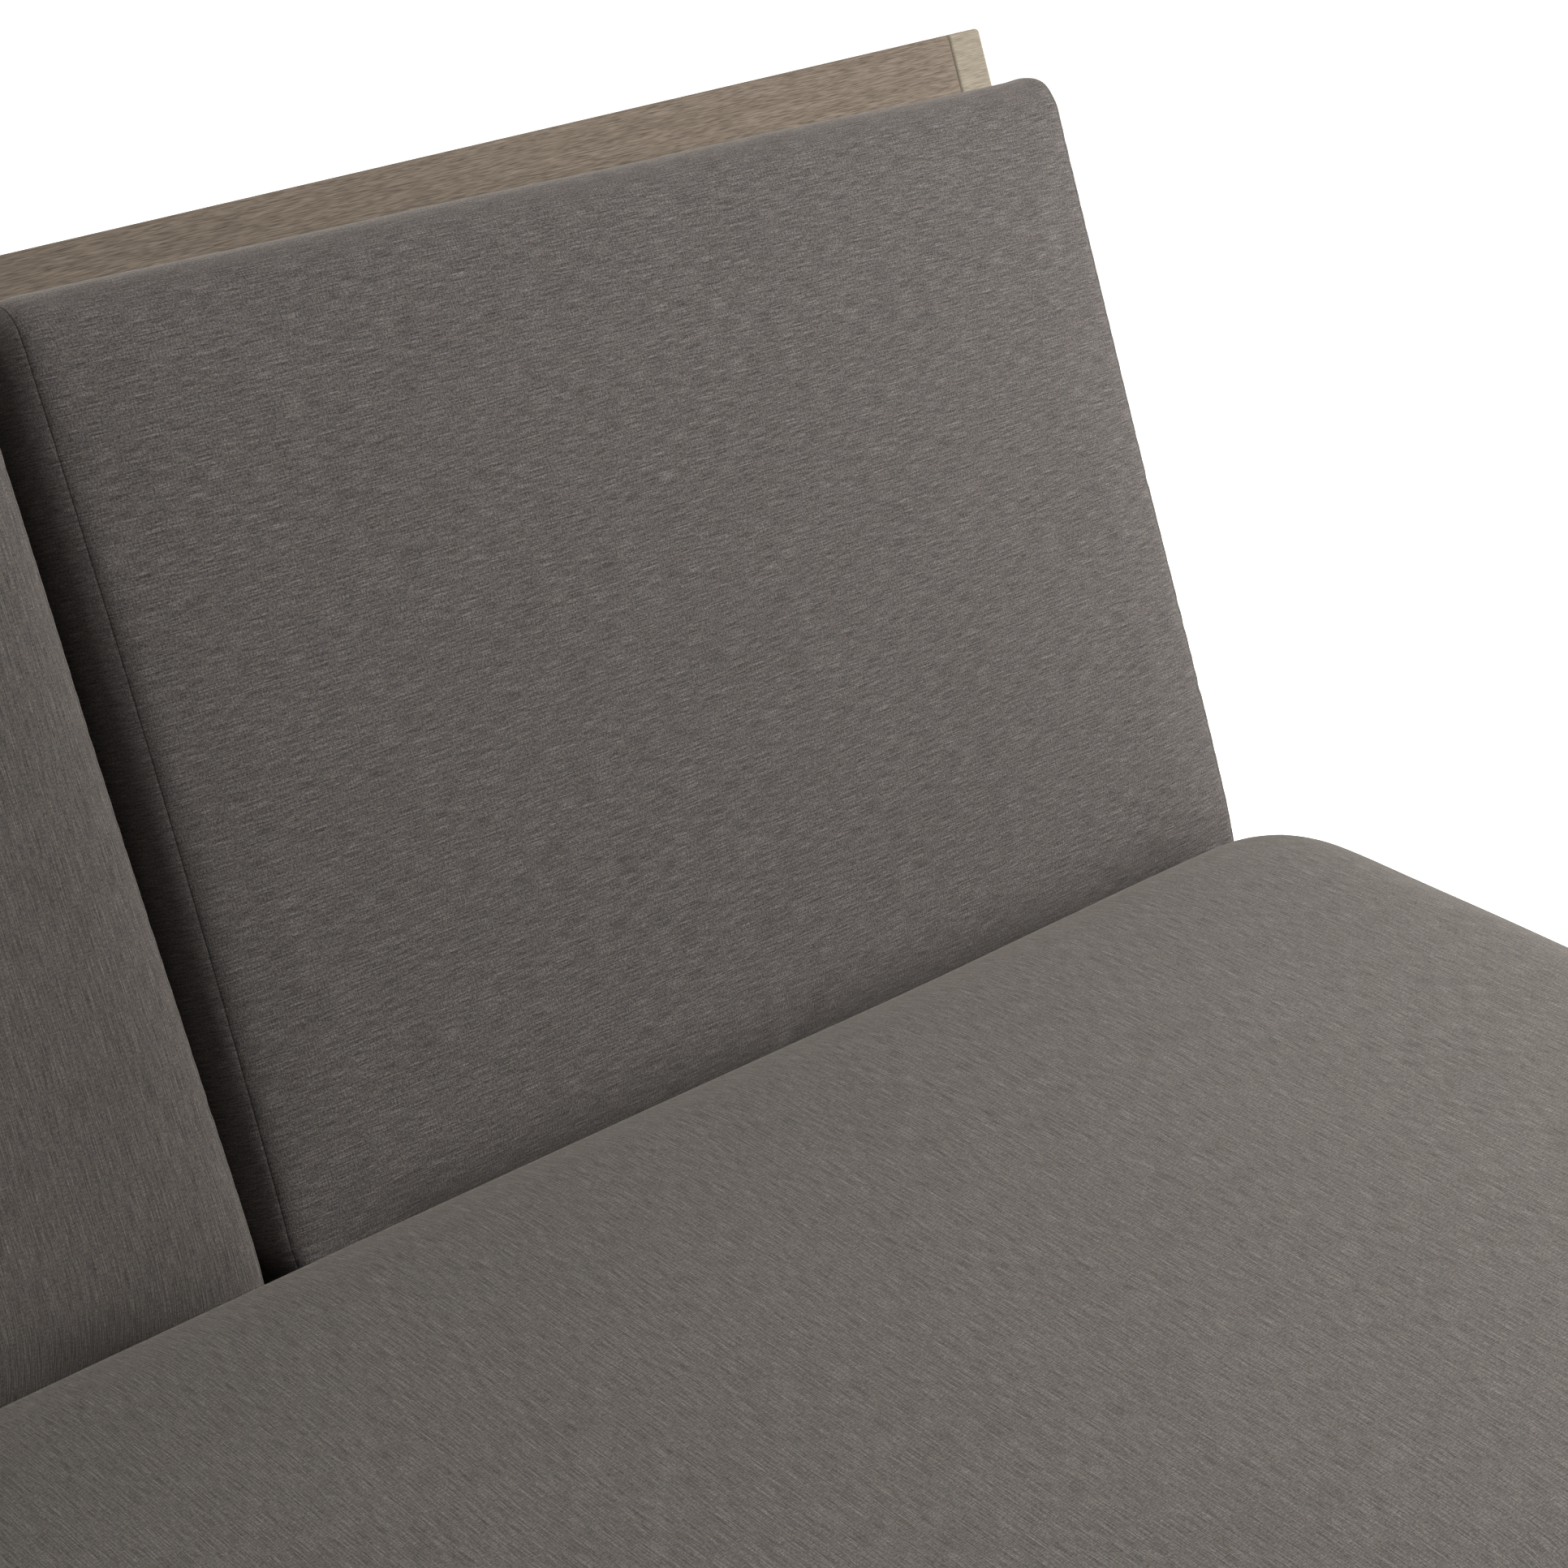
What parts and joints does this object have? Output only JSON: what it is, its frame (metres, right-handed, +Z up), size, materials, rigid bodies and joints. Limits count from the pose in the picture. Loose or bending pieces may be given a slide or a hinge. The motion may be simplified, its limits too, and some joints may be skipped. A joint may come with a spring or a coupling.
{
  "type": "futon sofa bed",
  "caption": "Armless slatted wooden futon sofa bed with a long seat cushion and a split cushioned back whose sections recline on ratchet hinges to lie flat as a bed.",
  "frame": {"origin": "on the floor under the middle of the footprint, in the sofa position", "axes": "+X along the sofa's length towards the short back section, the seat faces -Y, +Z up"},
  "size_m": [1.94, 0.852, 0.8016],
  "materials": {
    "grey_wood": "matte",
    "pale_wood": "matte",
    "upholstery": "matte",
    "hinge_steel": "satin",
    "zinc_steel": "satin",
    "spring_steel": "satin",
    "bush_plastic": "matte",
    "glide_plastic": "matte",
    "pad_rubber": "matte"
  },
  "bodies": {
    "base": {"bearer_brackets": "hinge_steel", "centre_bearer": "grey_wood", "centre_hinge_plate": "hinge_steel", "centre_pivot_bolt": "zinc_steel", "centre_pivot_nut": "zinc_steel", "frame_bolts": "zinc_steel", "front_left_leg": "grey_wood", "front_middle_leg": "grey_wood", "front_rail": "grey_wood", "front_right_leg": "grey_wood", "hinge_plate_bolts": "zinc_steel", "left_bearer": "grey_wood", "left_pivot_bolt": "zinc_steel", "left_pivot_nut": "zinc_steel", "left_ratchet_plate": "hinge_steel", "left_side_rail": "grey_wood", "left_slat_cleat": "grey_wood", "leg_glides": "glide_plastic", "rear_left_leg": "grey_wood", "rear_middle_leg": "grey_wood", "rear_rail": "grey_wood", "rear_right_leg": "grey_wood", "rest_pads": "pad_rubber", "right_pivot_bolt": "zinc_steel", "right_pivot_nut": "zinc_steel", "right_ratchet_plate": "hinge_steel", "right_side_rail": "grey_wood", "right_slat_cleat": "grey_wood", "seat_cushion": "upholstery", "seat_slats": "grey_wood", "slat_screws": "zinc_steel"},
    "right_back": {"right_arm_bolts": "zinc_steel", "right_back_bottom_rail": "grey_wood", "right_back_cushion": "upholstery", "right_back_inner_arm": "hinge_steel", "right_back_inner_stile": "pale_wood", "right_back_outer_arm": "hinge_steel", "right_back_outer_stile": "pale_wood", "right_back_slats": "grey_wood", "right_back_top_rail": "grey_wood", "right_pawl_pin": "zinc_steel", "right_pawl_spring": "spring_steel", "right_pivot_bushes": "bush_plastic"},
    "left_back": {"left_arm_bolts": "zinc_steel", "left_back_bottom_rail": "grey_wood", "left_back_cushion": "upholstery", "left_back_inner_arm": "hinge_steel", "left_back_inner_stile": "pale_wood", "left_back_middle_stile": "pale_wood", "left_back_outer_arm": "hinge_steel", "left_back_outer_stile": "pale_wood", "left_back_slats": "grey_wood", "left_back_top_rail": "grey_wood", "left_pawl_pin": "zinc_steel", "left_pawl_spring": "spring_steel", "left_pivot_bushes": "bush_plastic"},
    "right_pawl": {"right_pawl": "hinge_steel"},
    "left_pawl": {"left_pawl": "hinge_steel"}
  },
  "joints": [
    {"name": "right_back_recline", "type": "hinge", "parent": "base", "child": "right_back", "pos_m": [0.624, 0.158, 0.361], "axis": [-1, 0, 0], "range_deg": [-8, 68.2]},
    {"name": "left_back_recline", "type": "hinge", "parent": "base", "child": "left_back", "pos_m": [-0.353, 0.158, 0.361], "axis": [-1, 0, 0], "range_deg": [-8, 68.2]},
    {"name": "right_pawl_drop", "type": "hinge", "parent": "right_back", "child": "right_pawl", "pos_m": [0.938, 0.21586, 0.36505], "axis": [1, 0, 0], "range_deg": [0, 12]},
    {"name": "left_pawl_drop", "type": "hinge", "parent": "left_back", "child": "left_pawl", "pos_m": [-0.938, 0.21586, 0.36505], "axis": [1, 0, 0], "range_deg": [0, 12]}
  ]
}
